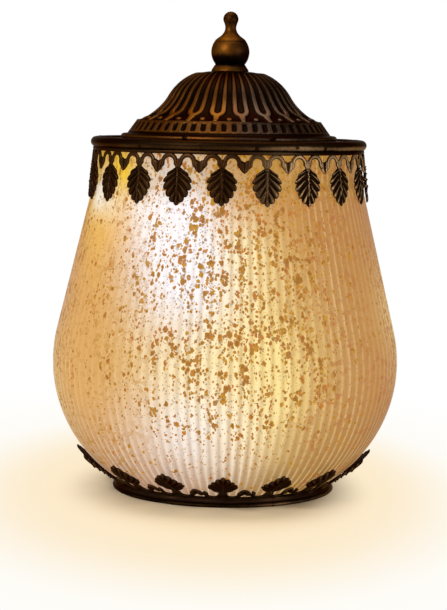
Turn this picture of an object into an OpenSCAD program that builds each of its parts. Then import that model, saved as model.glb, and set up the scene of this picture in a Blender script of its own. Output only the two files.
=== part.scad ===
// Grave lantern: a ribbed glass jar in pressed metal mounts, with a lift-off lid that holds the lights.
// Millimetres. Z points up, the origin is the centre of the foot on the floor, and -Y is the front.

/* [Glass jar] */
// Outer radius of the jar at its widest
belly_r = 64.3; // [61:0.1:68]
// Height of the widest point above the floor
belly_z = 47.8; // [46:0.1:50]
// Radius of the curve of the jar's side
belly_curve_r = 51.5; // [50:0.1:53]
// Lean of the straight upper side, in degrees from upright
side_lean = 13.55; // [12.5:0.05:14.5]
// Thickness of the glass wall
glass_wall = 3; // [2.4:0.1:3.6]
// Thickness of the glass in the base
glass_base = 4; // [3:0.1:5]
// Outer radius of the neck, inside the collar
neck_r = 48.5; // [47:0.1:49]
// Height of the straight neck
neck_h = 10.3; // [8:0.1:11]
// Height of the curve between the side and the neck
shoulder_h = 4; // [3:0.1:6]
// Height of the jar's lip above the floor
lip_z = 126.3; // [122:0.1:130]
// Height of the jar's underside above the floor
base_z = 2.2; // [1.8:0.1:3]
// Depth of the hollow pressed up under the jar
punt_depth = 1.5; // [1:0.1:2]
// Width left between that hollow and the edge of the underside
punt_land = 6; // [4:0.1:9]

/* [Metal mounts] */
// Thickness of the sheet that the mounts are pressed from
sheet = 0.5; // [0.4:0.05:0.7]
// Thickness of the sealant between glass and metal
sealant_gap = 0.5; // [0.3:0.05:0.8]
// Radius of the collar's rolled bead
bead_r = 1.9; // [1.5:0.1:2.3]
// Height of the bead's centre above the jar's lip
bead_rise = 3.1; // [2.8:0.1:3.6]
// Width of the ledge that lies on the jar's lip
ledge_w = 3.6; // [3:0.1:4.5]
// Distance that the foot ring stands out past the jar above it
foot_out = 1.4; // [1.2:0.1:2.4]
// Height of the foot ring
foot_h = 3.4; // [3:0.1:4]
// Width of the foot ring's floor
foot_floor_w = 6; // [5:0.1:8]
// Thickness of the foot ring's floor
foot_floor_t = 0.8; // [0.5:0.05:1.2]
// Thickness of the foot ring's wall
foot_wall = 0.6; // [0.4:0.05:0.8]
// Height of the rolled edge at the bottom of the foot ring
foot_edge_h = 1.2; // [0.8:0.1:1.6]
// Distance that this edge stands out
foot_edge_out = 0.6; // [0.3:0.05:0.9]

/* [Leaf strips] */
// Number of leaves round the collar
collar_leaves = 20; // [18:1:20]
// Turn of the collar's leaves from the front, in degrees
collar_turn = -2.5; // [-9:0.5:9]
// Number of leaves round the foot
foot_leaves = 16; // [14:1:16]
// Height of the plain rail that the leaves hang from
rail_h = 1.3; // [1:0.1:2]
// Depth from the rail to the top of an arch
arch_top = 1.2; // [0.8:0.1:1.6]
// Radius of the arches between leaf and bud
arch_r = 2.1; // [1.7:0.1:2.2]
// Half the width of a bud
bud_half_w = 2.35; // [2:0.05:2.6]
// Depth from the rail to the tip of a bud
bud_len = 7.1; // [6.5:0.1:8]
// Width of the windows under the rail
window_w = 4; // [3:0.1:4.4]
// Depth of the windows
window_h = 2.1; // [1.5:0.1:2.4]
// Depth from the rail to the top of a leaf's blade
stem_len = 5; // [4.4:0.1:5.6]
// Length of a leaf's blade
leaf_len = 13.2; // [12:0.1:14]
// Half the width of a leaf's blade
leaf_half_w = 5.4; // [4.8:0.1:5.8]
// Room between the leaf tips and the glass
leaf_gap = 0.15; // [0.1:0.05:0.4]
// Room between the foot's leaf strip and the glass
foot_leaf_gap = 0.45; // [0.3:0.05:0.8]

/* [Lid] */
// Height of the lid plate's top above the jar's lip
plate_rise = 4.3; // [4:0.1:4.7]
// Thickness of the lid plate
plate_t = 0.8; // [0.6:0.1:1]
// Room between the lid plate's rim and the bead
lid_gap = 0.35; // [0.25:0.05:0.6]
// Outer radius of the dome's bead
dome_r = 39.8; // [39:0.1:41.5]
// Radius of the dome's bead in section
dome_bead_r = 0.9; // [0.7:0.1:1.1]
// Width of the sloping band above the bead, measured outwards
band_w = 3.6; // [3.3:0.1:4]
// Height of the band
band_h = 5; // [4.5:0.1:5.5]
// Thickness of the dome's sheet
dome_sheet = 0.5; // [0.4:0.05:0.6]
// Width of the flat step inside the band
step_w = 0.9; // [0.6:0.1:1.4]
// Radius of the hollow curve at the foot of the dome
flare_r = 21; // [20:0.1:22]
// Radius of the round crown of the dome
crown_r = 18.6; // [18:0.1:19.5]
// Slope where the dome starts, in degrees
flare_start = 20; // [16:1:24]
// Steepest slope of the dome, in degrees
flare_end = 60; // [56:1:62]
// Number of forked ribs round the dome
forks = 20; // [18:1:20]
// Height of the ribs above the dome
rib_h = 0.6; // [0.4:0.05:0.8]
// Number of blocks on the sloping band
blocks = 60; // [54:1:60]
// Width of a block
block_w = 2.1; // [1.7:0.1:2.3]

/* [Finial] */
// Radius of the finial's base
knob_base_r = 6.9; // [6:0.1:7.6]
// Radius of the waist above the base
knob_waist_r = 5.5; // [5.2:0.1:5.8]
// Height of the base
knob_base_h = 2.5; // [2.2:0.1:3]
// Radius of the bulb
knob_bulb_r = 7.05; // [6.6:0.05:7.6]
// Radius of the neck above the bulb
knob_neck_r = 2; // [1.7:0.1:2.3]
// Height of the neck above the bulb
knob_neck_h = 3; // [2.6:0.1:3.6]
// Radius of the ball on top
knob_ball_r = 2.8; // [2.5:0.1:3.2]
// Radius of the screw that holds the finial
knob_screw_r = 1.75; // [1.5:0.05:2]
// Length of that screw below its head
knob_screw_len = 10; // [8:0.1:12]

/* [Battery case] */
// Diameter of a cell
cell_d = 10.5; // [10.2:0.1:10.8]
// Length of a cell with its tip
cell_l = 44.5; // [44:0.1:45]
// Room round each cell
cell_gap = 0.3; // [0.2:0.05:0.4]
// Thickness of the case's wall at the corners of the cell bay
case_wall = 2.2; // [1.8:0.1:2.6]
// Thickness of the case's roof
case_roof = 1.6; // [1.2:0.1:1.8]
// Depth of the case below the lid plate
case_drop = 8.8; // [8:0.1:9.6]
// Width of the case's flange
flange_w = 5.6; // [5.2:0.1:6]
// Thickness of the flange
flange_t = 2; // [1.6:0.1:2.4]
// Radius of the circle of screws, measured from the case's wall
screw_out = 3.2; // [3:0.1:3.4]
// Radius of the case's screws
screw_r = 1.3; // [1.1:0.1:1.5]
// Thickness of the door and of the circuit cover
door_t = 1.6; // [1.4:0.1:2]
// Room round the door and the cover
door_gap = 0.25; // [0.2:0.05:0.4]
// Radius of the door's hinge barrel
barrel_r = 1.5; // [1.3:0.1:1.7]
// Length of the barrel
barrel_l = 20; // [16:0.5:22]
// Radius of the hinge pin
pin_r = 0.75; // [0.6:0.05:0.9]
// Running room round the hinge pin
pin_gap = 0.05; // [0.03:0.01:0.08]
// Length of a contact spring
spring_l = 4.2; // [4:0.1:5]
// Thickness of the contact plates
contact_t = 0.4; // [0.3:0.05:0.5]
// Travel of the switch between two settings
switch_step = 2; // [1.5:0.1:2.5]

/* [String of lights] */
// Radius of the wire
wire_r = 0.6; // [0.5:0.05:0.7]
// Room between the coil of lights and the neck of the jar
coil_gap = 8; // [6:0.5:12]
// Height of the coil's lowest point above the floor
coil_low = 22; // [18:1:28]
// Height of the coil's top above the floor
coil_top = 110; // [106:1:112]
// Number of turns
coil_turns = 5.25; // [4:0.25:6]
// Radius of a lamp's clear bead
lamp_r = 2; // [1.6:0.1:2.4]
// Number of lamps
lamps = 11; // [8:1:11]
// Length of wire between two lamps
lamp_gap = 117.5; // [80:0.5:118]

/* [Hidden] */
$fn = 96;
tiny = 0.01;
over = 1;
curve_steps = 6;
strip_steps = 3;

// Jar: centre of the side's curve, and where that curve meets the straight side
curve_x = belly_r - belly_curve_r;
neck_z = lip_z - neck_h;
shoulder_z = neck_z - shoulder_h;
function meet_r(inset) = curve_x + (belly_curve_r - inset) * cos(side_lean);
function meet_z(inset) = belly_z + (belly_curve_r - inset) * sin(side_lean);
function side_r(z, inset) = meet_r(inset) - (z - meet_z(inset)) * tan(side_lean);
function curve_r_at(z, inset) = curve_x + sqrt(pow(belly_curve_r - inset, 2) - pow(belly_z - z, 2));
function shoulder_r(t, inset) =
    let (top = neck_r - inset, low = side_r(shoulder_z, inset)) top + (low - top) * (1 + cos(180 * t)) / 2;
function upper_r(z) =
    z < shoulder_z ? side_r(z, 0) : shoulder_r(min((z - shoulder_z) / shoulder_h, 1), 0);
floor_z = base_z + glass_base;
mouth_r = neck_r - glass_wall;

// Mounts: the collar's strip runs straight, from the rail to tips that keep it clear of the jar all the way
tip_checks = 20;
collar_in = neck_r + sealant_gap;
collar_out = collar_in + sheet;
bead_z = lip_z + bead_rise;
bead_mid_r = collar_in + sheet / 2;
rail_z = bead_z - bead_r - rail_h;
strip_len = stem_len + leaf_len;
tip_z = rail_z - strip_len;
leaf_tip_r = leaf_gap + max([for (i = [1 : tip_checks])
    collar_out + (upper_r(rail_z - strip_len * i / tip_checks) - collar_out) * tip_checks / i]);
bud_pitch_out = bud_half_w + arch_r;
arch_depth = arch_top + arch_r;
strip_curve_r = belly_curve_r + foot_leaf_gap;
foot_rail_z = foot_h + 0.2;
foot_r = curve_r_at(foot_rail_z, 0) + foot_out;
foot_rail_angle = asin((belly_z - foot_rail_z) / (strip_curve_r + sheet / 2));
leaf_arc = strip_len / strip_curve_r * 180 / PI;
leaf_mid_angle = foot_rail_angle - leaf_arc / 2;
function foot_strip_point(depth, out) =
    let (a = foot_rail_angle - leaf_arc * depth / strip_len)
    [curve_x, belly_z] + (strip_curve_r + out) * [cos(a), -sin(a)];

// Lid
ledge_z = lip_z + sealant_gap + sheet;
plate_z = lip_z + plate_rise;
plate_low_z = plate_z - plate_t;
plate_r = bead_mid_r - bead_r - lid_gap;
dome_flat = 0.15;
dome_bead_z = plate_z + dome_bead_r - dome_flat;
band_low = [dome_r - dome_bead_r - 1.3, plate_z + 2 * dome_bead_r];
band_top = band_low + [-band_w, band_h];
flare_low = band_top + [-step_w, -0.5];
flare_mid = flare_low + flare_r * [sin(flare_start), cos(flare_start)];
crown_low = flare_mid - flare_r * [sin(flare_end), cos(flare_end)];
crown_mid = crown_low - crown_r * [sin(flare_end), cos(flare_end)];
knob_z = crown_mid[1] + crown_r;

// Finial, as heights above the dome
groove_h = 0.2;
neck_fillet = 1.2;
bulb_z = knob_base_h + groove_h + sqrt(pow(knob_bulb_r, 2) - pow(knob_waist_r, 2));
bulb_top_z = bulb_z + sqrt(pow(knob_bulb_r, 2) - pow(knob_neck_r + neck_fillet, 2));
ball_z = bulb_top_z + knob_neck_h + knob_ball_r;
washer_t = 0.8;
washer_r = 4.5;
head_h = 2.2;
head_r = 3.4;

// Battery case, with its cells side by side
cells = 3;
cell_pitch = cell_d + cell_gap;
bay_w = cells * cell_pitch + cell_gap;
bay_l = cell_l + spring_l + 2 * contact_t;
case_r = norm([bay_w, bay_l]) / 2 + case_wall;
case_z = plate_low_z - case_drop;
bay_z = case_z + door_t;
roof_z = bay_z + cell_d + 2 * cell_gap;
case_top_z = roof_z + case_roof;
cell_z = bay_z + cell_d / 2 + cell_gap;
plate_hole_r = case_r + 0.6;
screw_circle_r = case_r + screw_out;
screw_head_r = 2.4;
screw_head_h = 1.5;
slot_w = 0.6;
slot_depth = 0.7;
screw_tip = 1.4;
ear_r = barrel_r + 0.2;
ear_w = 3;
hinge_y = -bay_l / 2 - barrel_r - 0.95;
door_edge_y = hinge_y + ear_r + 0.4;
door_half_w = bay_w / 2 + 1;
tab_r = 2.8;
tab_y = bay_l / 2 + tab_r;
door_screw_r = 1;
door_screw_bite = 2.4;

// Circuit bay, on the +X side of the cells
rib_t = 2.9;
circuit_x = bay_w / 2 + rib_t;
circuit_r = case_r - 2.8;
cover_x = circuit_x - 1;
cover_r = case_r - 1.6;
board_t = 1.2;
board_z = roof_z - 2.4;
switch_x = circuit_x + 4.5;
switch_y = 6;
switch_l = 10;
switch_w = 5;
switch_h = 5.5;
slider_w = 2.4;
slider_l = 3;
slider_out = 0.9;
grommet_at = [circuit_x + 5.6, -10];
grommet_r = 2.2;
grommet_neck_r = 1.6;
board_post_at = [circuit_x + 3, 12];
cover_screw_at = [circuit_x + 3, 17.5];
cover_screw_r = 1;
cover_screw_l = 7;
cover_post_r = 2.4;

// String of lights: down through the ring, out in one curve to the coil, and round it
coil_r = mouth_r - coil_gap;
coil_rings = 24;
coil_start = -15;
coil_pitch = (coil_top - coil_low) / coil_turns;
function coil_point(turn) = [
    coil_r * cos(coil_start - 360 * turn),
    coil_r * sin(coil_start - 360 * turn),
    coil_top - coil_pitch * turn
];
lead_steps = 10;
lead_out = concat(grommet_at, case_z - 1);
lead_down = lead_out - [0, 0, 8];
lead_turn = coil_point(0) - 10 * [sin(coil_start), -cos(coil_start), 0];
function lead_point(t) = pow(1 - t, 3) * lead_out + 3 * t * pow(1 - t, 2) * lead_down
    + 3 * t * t * (1 - t) * lead_turn + pow(t, 3) * coil_point(0);
wire_points = concat(
    [concat(grommet_at, board_z - board_t)],
    [for (i = [0 : lead_steps - 1]) lead_point(i / lead_steps)],
    [for (i = [0 : coil_turns * coil_rings]) coil_point(i / coil_rings)]);
wire_up = [0.07, 0.05, 1];
lamp_turn = lamp_gap / norm([2 * PI * coil_r, coil_pitch]);

// Points of a tube of the given number of sides that follows a path
function path_dir(p, i) =
    let (a = p[max(i - 1, 0)], b = p[min(i + 1, len(p) - 1)]) (b - a) / norm(b - a);
function unit(v) = v / norm(v);
function tube_ring(p, i, r, sides, up) =
    let (d = path_dir(p, i), u = unit(cross(d, up)), v = cross(d, u))
    [for (s = [0 : sides - 1]) p[i] + r * (cos(360 * s / sides) * u + sin(360 * s / sides) * v)];
module tube(p, r, sides, up) {
    last = len(p) - 1;
    skin = [for (i = [0 : last]) each tube_ring(p, i, r, sides, up)];
    bands = [for (i = [0 : last - 1]) for (s = [0 : sides - 1])
        let (a = i * sides + s, b = i * sides + (s + 1) % sides)
        each [[a, b, b + sides], [a, b + sides, a + sides]]];
    start = [for (s = [1 : sides - 2]) [0, s + 1, s]];
    tail = last * sides;
    end = [for (s = [1 : sides - 2]) [tail, tail + s, tail + s + 1]];
    polyhedron(skin, concat(bands, start, end));
}

// Least distance between a coil's neighbouring turns, face to face
echo(coil_gap_to_itself = norm(coil_point(1) - coil_point(0)) - 2 * wire_r);

// Section of the jar, drawn in by inset from its outer face, from low_z up to high_z
module jar_section(inset, low_z, high_z) {
    join = 3;
    intersection() {
        translate([curve_x, belly_z]) circle(belly_curve_r - inset);
        translate([0, low_z]) square([belly_r, meet_z(inset) - low_z]);
    }
    shoulder = [for (i = [0 : curve_steps])
        let (t = i / curve_steps) [shoulder_r(t, inset), shoulder_z + t * shoulder_h]];
    polygon(concat(
        [[0, meet_z(inset) - join], [meet_r(inset) - join, meet_z(inset) - join],
            [meet_r(inset), meet_z(inset)]],
        shoulder,
        [[neck_r - inset, high_z], [0, high_z]]));
}

module glass_bowl() {
    punt_r = curve_r_at(base_z, 0) - punt_land;
    color([0.93, 0.8, 0.55]) rotate_extrude() difference() {
        jar_section(0, base_z, lip_z);
        jar_section(glass_wall, floor_z, lip_z + over);
        polygon([[0, base_z - tiny], [punt_r, base_z - tiny],
            [punt_r - punt_depth, base_z + punt_depth], [0, base_z + punt_depth]]);
    }
}

module foot_sealant() {
    color([0.75, 0.73, 0.68]) rotate_extrude() difference() {
        translate([foot_r - foot_floor_w, foot_floor_t])
            square([foot_floor_w - foot_wall, foot_h - foot_floor_t - 0.2]);
        jar_section(0, base_z, lip_z);
    }
}

module foot_ring() {
    color([0.27, 0.2, 0.14]) rotate_extrude() {
        translate([foot_r - foot_wall, 0]) square([foot_wall, foot_h]);
        translate([foot_r - foot_floor_w, 0]) square([foot_floor_w, foot_floor_t]);
        translate([foot_r - foot_wall, 0]) square([foot_wall + foot_edge_out, foot_edge_h]);
    }
}

// One leaf with its stem, with its depth below the rail along +X
module leaf_shape() {
    w = leaf_half_w;
    n = leaf_len;
    lobe_r = w * 0.3;
    difference() {
        polygon([[arch_top - 0.3, -bud_pitch_out], [arch_depth, -1.6], [stem_len + 0.5, -0.9],
            [stem_len + 0.5, 0.9], [arch_depth, 1.6], [arch_top - 0.3, bud_pitch_out]]);
        for (side = [-1, 1]) translate([arch_depth, side * (arch_r + 1.45)]) circle(arch_r);
    }
    translate([stem_len, 0]) {
        edge = [[0.16 * n, 0.5 * w], [0.4 * n, 0.74 * w], [0.76 * n, 0.32 * w]];
        polygon(concat([[0, 0.9]], edge, [[0.92 * n, 0]], flip([for (p = edge) [p[0], -p[1]]]), [[0, -0.9]]));
        for (side = [-1, 1], lobe = [[0.13, 0.36], [0.24, 0.52], [0.42, 0.7], [0.6, 0.5], [0.76, 0.28]])
            translate([lobe[0] * n, side * lobe[1] * w]) circle(lobe_r);
        translate([n - lobe_r, 0]) circle(lobe_r);
    }
}

// One bud with the roots of its arches
module bud_shape() {
    tip_r = 0.9;
    difference() {
        translate([arch_top - 0.3, -bud_pitch_out]) square([arch_r + 0.3, 2 * bud_pitch_out]);
        for (side = [-1, 1]) translate([arch_depth, side * bud_pitch_out]) circle(arch_r);
    }
    polygon([
        [arch_depth - 0.3, -bud_half_w], [arch_depth + 1.1, -bud_half_w * 0.95],
        [bud_len - tip_r, -tip_r * 0.9], [bud_len - tip_r, tip_r * 0.9],
        [arch_depth + 1.1, bud_half_w * 0.95], [arch_depth - 0.3, bud_half_w]]);
    translate([bud_len - tip_r, 0]) circle(tip_r);
}

module window_shape() {
    polygon([[0, -window_w / 2], [window_h, -0.3], [window_h, 0.3], [0, window_w / 2]]);
}

// These place a shape as a prism through a strip: outwards from the collar, or square to the foot's curve
module through_collar(shape_turn) {
    reach = 12;
    rotate([0, 0, shape_turn]) translate([collar_out - reach / 2, 0, rail_z])
        rotate([0, 90, 0]) linear_extrude(reach) children();
}
module through_foot(shape_turn) {
    reach = 8;
    chord = strip_curve_r * sin(leaf_arc / 2);
    rotate([0, 0, shape_turn]) translate([curve_x, 0, belly_z]) rotate([0, 90 + leaf_mid_angle, 0])
        rotate([0, 0, 180]) translate([-chord, 0, strip_curve_r - reach / 2])
            linear_extrude(reach) children();
}

module collar_gallery() {
    pitch = 360 / collar_leaves;
    front = -90 + collar_turn;
    rail_top = rail_z + rail_h - tiny;
    color([0.2, 0.15, 0.11]) difference() {
        intersection() {
            rotate_extrude() polygon([
                [collar_out, rail_top], [collar_out, rail_z], [leaf_tip_r, tip_z - tiny],
                [leaf_tip_r + sheet, tip_z - tiny], [collar_out + sheet, rail_z],
                [collar_out + sheet, rail_top]]);
            union() {
                translate([0, 0, rail_z - arch_top]) cylinder(r = belly_r, h = rail_h + arch_top + over);
                for (i = [0 : collar_leaves - 1]) {
                    through_collar(front + i * pitch) leaf_shape();
                    through_collar(front + (i + 0.5) * pitch) bud_shape();
                }
            }
        }
        for (i = [0 : 2 * collar_leaves - 1]) through_collar(front + i * pitch / 2) window_shape();
    }
}

module foot_gallery() {
    pitch = 360 / foot_leaves;
    color([0.2, 0.15, 0.11]) difference() {
        union() {
            rotate_extrude() polygon([
                [foot_r, foot_edge_h], [foot_r + sheet, foot_edge_h], [foot_r + sheet, foot_rail_z],
                foot_strip_point(arch_top, sheet), foot_strip_point(arch_top, 0), [foot_r, foot_rail_z]]);
            intersection() {
                rotate_extrude() polygon(concat(
                    [for (i = [0 : strip_steps]) foot_strip_point(strip_len * i / strip_steps, 0)],
                    [for (i = [strip_steps : -1 : 0]) foot_strip_point(strip_len * i / strip_steps, sheet)]));
                union() for (i = [0 : foot_leaves - 1]) {
                    through_foot(-90 + i * pitch) leaf_shape();
                    through_foot(-90 + (i + 0.5) * pitch) bud_shape();
                }
            }
        }
        for (i = [0 : 2 * foot_leaves - 1]) through_foot(-90 + i * pitch / 2) window_shape();
    }
}

module collar_sealant() {
    color([0.75, 0.73, 0.68]) rotate_extrude()
        translate([collar_out - ledge_w, lip_z]) square([neck_r - collar_out + ledge_w, sealant_gap]);
}

module collar_rim() {
    color([0.3, 0.21, 0.14]) rotate_extrude() {
        translate([collar_in, rail_z]) square([sheet, bead_z - rail_z]);
        translate([collar_out - ledge_w, ledge_z - sheet]) square([ledge_w, sheet]);
        translate([bead_mid_r, bead_z]) circle(bead_r);
    }
}

module lid_plate() {
    edge_r = 1;
    color([0.3, 0.21, 0.14]) difference() {
        rotate_extrude() {
            translate([plate_hole_r, plate_low_z]) square([plate_r - edge_r - plate_hole_r, plate_t]);
            translate([plate_r - plate_t, ledge_z]) square([plate_t, plate_z - edge_r - ledge_z]);
            intersection() {
                difference() {
                    translate([plate_r - edge_r, plate_z - edge_r]) circle(edge_r);
                    translate([plate_r - edge_r, plate_z - edge_r]) circle(edge_r - plate_t);
                }
                translate([plate_r - edge_r, plate_z - edge_r]) square(edge_r);
            }
        }
        case_screw_places() translate([0, 0, plate_low_z - over])
            cylinder(r = screw_r, h = plate_t + 2 * over);
    }
}

// Points of the dome's outer face from the band's foot to the crown, raised by lift square to the face
function dome_outline(lift) = concat(
    [for (i = [0 : curve_steps]) let (a = flare_start + (flare_end - flare_start) * i / curve_steps)
        flare_mid - (flare_r - lift) * [sin(a), cos(a)]],
    [for (i = [1 : curve_steps]) let (a = flare_end * (1 - i / curve_steps))
        crown_mid + (crown_r + lift) * [sin(a), cos(a)]]);
function flip(list) = [for (i = [len(list) - 1 : -1 : 0]) list[i]];
band_dir = unit(band_top - band_low);
band_out = [band_dir[1], -band_dir[0]];

// One forked rib seen from above, with its root towards +X
module fork_shape() {
    spread = 180 / forks / 2;
    root_r = 26.4;
    head_in = 11;
    prong_in = 0.42;
    prong_out = 0.95;
    for (side = [-1, 1]) rotate(side * spread) polygon([
        [head_in, -prong_in], [root_r, -prong_out], [root_r, prong_out], [head_in, prong_in]]);
    difference() {
        translate([root_r, 0]) circle(root_r * sin(spread) + prong_out);
        translate([root_r, 0]) circle(root_r * sin(spread) - prong_out);
        translate([0, -root_r / 2]) square([root_r - tiny, root_r]);
    }
    polygon([[root_r + root_r * sin(spread) + 0.3, -1.2], [flare_low[0], -0.3], [flare_low[0], 0.3],
        [root_r + root_r * sin(spread) + 0.3, 1.2]]);
}

module lid_dome() {
    sunk = 0.2;
    dot_in = 2.2;
    dot_r = 0.9;
    low_edge = band_low + [1, -0.9];
    block_low = band_low + 0.7 * band_dir;
    block_top = band_top - 0.4 * band_dir;
    fork_turn = -90 + 180 / forks;
    hole_r = knob_screw_r + 0.25;
    color([0.42, 0.27, 0.13]) {
        rotate_extrude() {
            intersection() {
                translate([dome_r - dome_bead_r, dome_bead_z]) circle(dome_bead_r);
                translate([0, plate_z]) square([dome_r + over, 3 * dome_bead_r]);
            }
            polygon(concat(
                [low_edge, band_low, band_top], dome_outline(0),
                [[hole_r, knob_z], [hole_r, knob_z - dome_sheet]],
                flip(dome_outline(-dome_sheet)),
                [band_top - dome_sheet * [2, 1.4], band_low - dome_sheet * band_out,
                    low_edge - dome_sheet * [1.2, 0]]));
        }
        intersection() {
            rotate_extrude() polygon(concat(dome_outline(rib_h), flip(dome_outline(-sunk))));
            union() {
                pitch = 360 / forks;
                translate([0, 0, plate_z]) linear_extrude(knob_z - plate_z) for (i = [0 : forks - 1]) {
                    rotate(fork_turn + i * pitch) fork_shape();
                    rotate(fork_turn + (i + 0.5) * pitch) translate([flare_low[0] - dot_in, 0]) circle(dot_r);
                }
            }
        }
        intersection() {
            rotate_extrude() polygon([
                block_low + rib_h * band_out, block_top + rib_h * band_out,
                block_top - sunk * band_out, block_low - sunk * band_out]);
            union() for (i = [0 : blocks - 1]) rotate([0, 0, -90 + i * 360 / blocks])
                translate([band_top[0] - over, -block_w / 2, plate_z])
                    cube([2 * band_w, block_w, 2 * band_h]);
        }
    }
}

module finial() {
    bore_r = knob_screw_r + 0.03;
    bore_l = knob_screw_len - washer_t - dome_sheet + 0.5;
    color([0.3, 0.2, 0.12]) translate([0, 0, knob_z]) difference() {
        rotate_extrude() intersection() {
            union() {
                polygon([[0, 0], [knob_base_r, 0], [knob_base_r, 0.6], [knob_waist_r, knob_base_h],
                    [knob_waist_r, knob_base_h + 2 * groove_h], [0, knob_base_h + 2 * groove_h]]);
                translate([0, bulb_z]) circle(knob_bulb_r);
                polygon([[0, bulb_z], [knob_neck_r + neck_fillet, bulb_top_z - groove_h],
                    [knob_neck_r, bulb_top_z + neck_fillet], [knob_neck_r, ball_z], [0, ball_z]]);
                translate([0, ball_z]) circle(knob_ball_r);
            }
            square([2 * knob_bulb_r, ball_z + knob_ball_r]);
        }
        translate([0, 0, -over]) cylinder(r = bore_r, h = bore_l + over);
    }
}

module knob_washer() {
    color("silver") translate([0, 0, knob_z - dome_sheet - washer_t]) difference() {
        cylinder(r = washer_r, h = washer_t);
        translate([0, 0, -over]) cylinder(r = knob_screw_r + 0.25, h = washer_t + 2 * over);
    }
}

module knob_screw() {
    head_z = knob_z - dome_sheet - washer_t - head_h;
    color("silver") translate([0, 0, head_z]) difference() {
        union() {
            cylinder(r = head_r, h = head_h);
            cylinder(r = knob_screw_r, h = head_h + knob_screw_len);
        }
        cross_slot(2, 0);
    }
}

module case_screw_places() {
    for (turn = [30, 150, 270]) rotate([0, 0, turn]) translate([screw_circle_r, 0, 0]) children();
}

// The door's outline, grown by grow on every side
module door_outline(grow) {
    translate([-door_half_w - grow, door_edge_y - grow])
        square([2 * (door_half_w + grow), bay_l / 2 + 0.7 - door_edge_y + 2 * grow]);
    translate([0, tab_y]) circle(tab_r + grow);
    translate([-tab_r - grow, bay_l / 2]) square([2 * (tab_r + grow), tab_y - bay_l / 2]);
}

module cover_outline(r, x) {
    intersection() {
        circle(r);
        translate([x, -r]) square(2 * r);
    }
}

module battery_case() {
    ear_x = barrel_l / 2 + 0.3;
    board_post_r = 1.6;
    color([0.12, 0.12, 0.12]) difference() {
        union() {
            translate([0, 0, case_z]) cylinder(r = case_r, h = case_top_z - case_z);
            translate([0, 0, plate_low_z - flange_t]) cylinder(r = case_r + flange_w, h = flange_t);
            for (side = [-1, 1]) translate([side * (ear_x + ear_w / 2), hinge_y, case_z]) rotate([0, 90, 0])
                cylinder(r = ear_r, h = ear_w, center = true);
        }
        translate([-bay_w / 2, -bay_l / 2, case_z - over]) cube([bay_w, bay_l, roof_z - case_z + over]);
        translate([0, 0, case_z - over]) linear_extrude(door_t + over) difference() {
            door_outline(door_gap);
            for (side = [-1, 1]) translate([side * (ear_x + ear_w / 2) - ear_w / 2, hinge_y - over])
                square([ear_w, ear_r + over]);
        }
        difference() {
            translate([0, 0, case_z - over]) linear_extrude(roof_z - case_z + over)
                cover_outline(circuit_r, circuit_x);
            for (side = [-1, 1]) translate([board_post_at[0], side * board_post_at[1], board_z])
                cylinder(r = board_post_r, h = roof_z - board_z + over);
            translate([cover_screw_at[0], cover_screw_at[1], bay_z])
                cylinder(r = cover_post_r, h = roof_z - bay_z + over);
        }
        translate([0, 0, case_z - over]) linear_extrude(door_t + over)
            cover_outline(cover_r + door_gap, cover_x - door_gap);
        translate([cover_screw_at[0], cover_screw_at[1], case_z])
            cylinder(r = cover_screw_r, h = cover_screw_l);
        translate([-barrel_l / 2 - 0.3, hinge_y - ear_r - 0.3, case_z - over])
            cube([barrel_l + 0.6, 2 * ear_r + 1.2, barrel_r + 0.3 + over]);
        translate([0, hinge_y, case_z]) rotate([0, 90, 0])
            cylinder(r = pin_r + 0.02, h = 2 * (ear_x + ear_w) + over, center = true);
        translate([0, tab_y, case_z]) cylinder(r = door_screw_r + 0.35, h = door_t + door_screw_bite + 0.6);
        case_screw_places() translate([0, 0, plate_low_z - flange_t - over])
            cylinder(r = screw_r + 0.2, h = flange_t + 2 * over);
    }
}

module case_screws() {
    low = plate_low_z - flange_t;
    color("silver") case_screw_places() translate([0, 0, low - screw_head_h]) difference() {
        union() {
            cylinder(r = screw_head_r, h = screw_head_h);
            cylinder(r = screw_r, h = screw_head_h + flange_t + plate_t + screw_tip);
        }
        cross_slot(1.5, 0);
    }
}

// Cells lie along Y, every second one turned round
module cell_places() {
    for (i = [0 : cells - 1]) translate([(i - (cells - 1) / 2) * cell_pitch, 0, cell_z])
        rotate([0, 0, i % 2 == 0 ? 0 : 180]) children();
}

module battery_cells() {
    tip_l = 1;
    tip_r = 1.9;
    can_l = cell_l - tip_l;
    front = bay_l / 2 - contact_t;
    color([0.2, 0.35, 0.3]) cell_places() {
        translate([0, front - tip_l, 0]) rotate([90, 0, 0]) cylinder(r = cell_d / 2, h = can_l);
        translate([0, front, 0]) rotate([90, 0, 0]) cylinder(r = tip_r, h = tip_l + over);
    }
}

module contact_plates() {
    size = cell_d - 1.5;
    color("silver") cell_places() for (side = [-1, 1])
        translate([-size / 2, side * (bay_l - contact_t) / 2 - contact_t / 2, -size / 2])
            cube([size, contact_t, size]);
}

module contact_springs() {
    turns = 3;
    rings = 8;
    wide = 3.6;
    narrow = 2.4;
    thick = 0.3;
    start = -bay_l / 2 + contact_t;
    rise = spring_l - 4 * thick;
    turn_points = [for (i = [0 : turns * rings])
        let (t = i / (turns * rings), r = wide + (narrow - wide) * t, a = 360 * turns * t)
        [r * cos(a), start + 2 * thick + rise * t, r * sin(a)]];
    path = concat([[wide, start, 0]], turn_points, [[narrow, start + spring_l, 0]]);
    color("silver") cell_places() tube(path, thick, 6, [0.1, 1, 0.05]);
}

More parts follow.
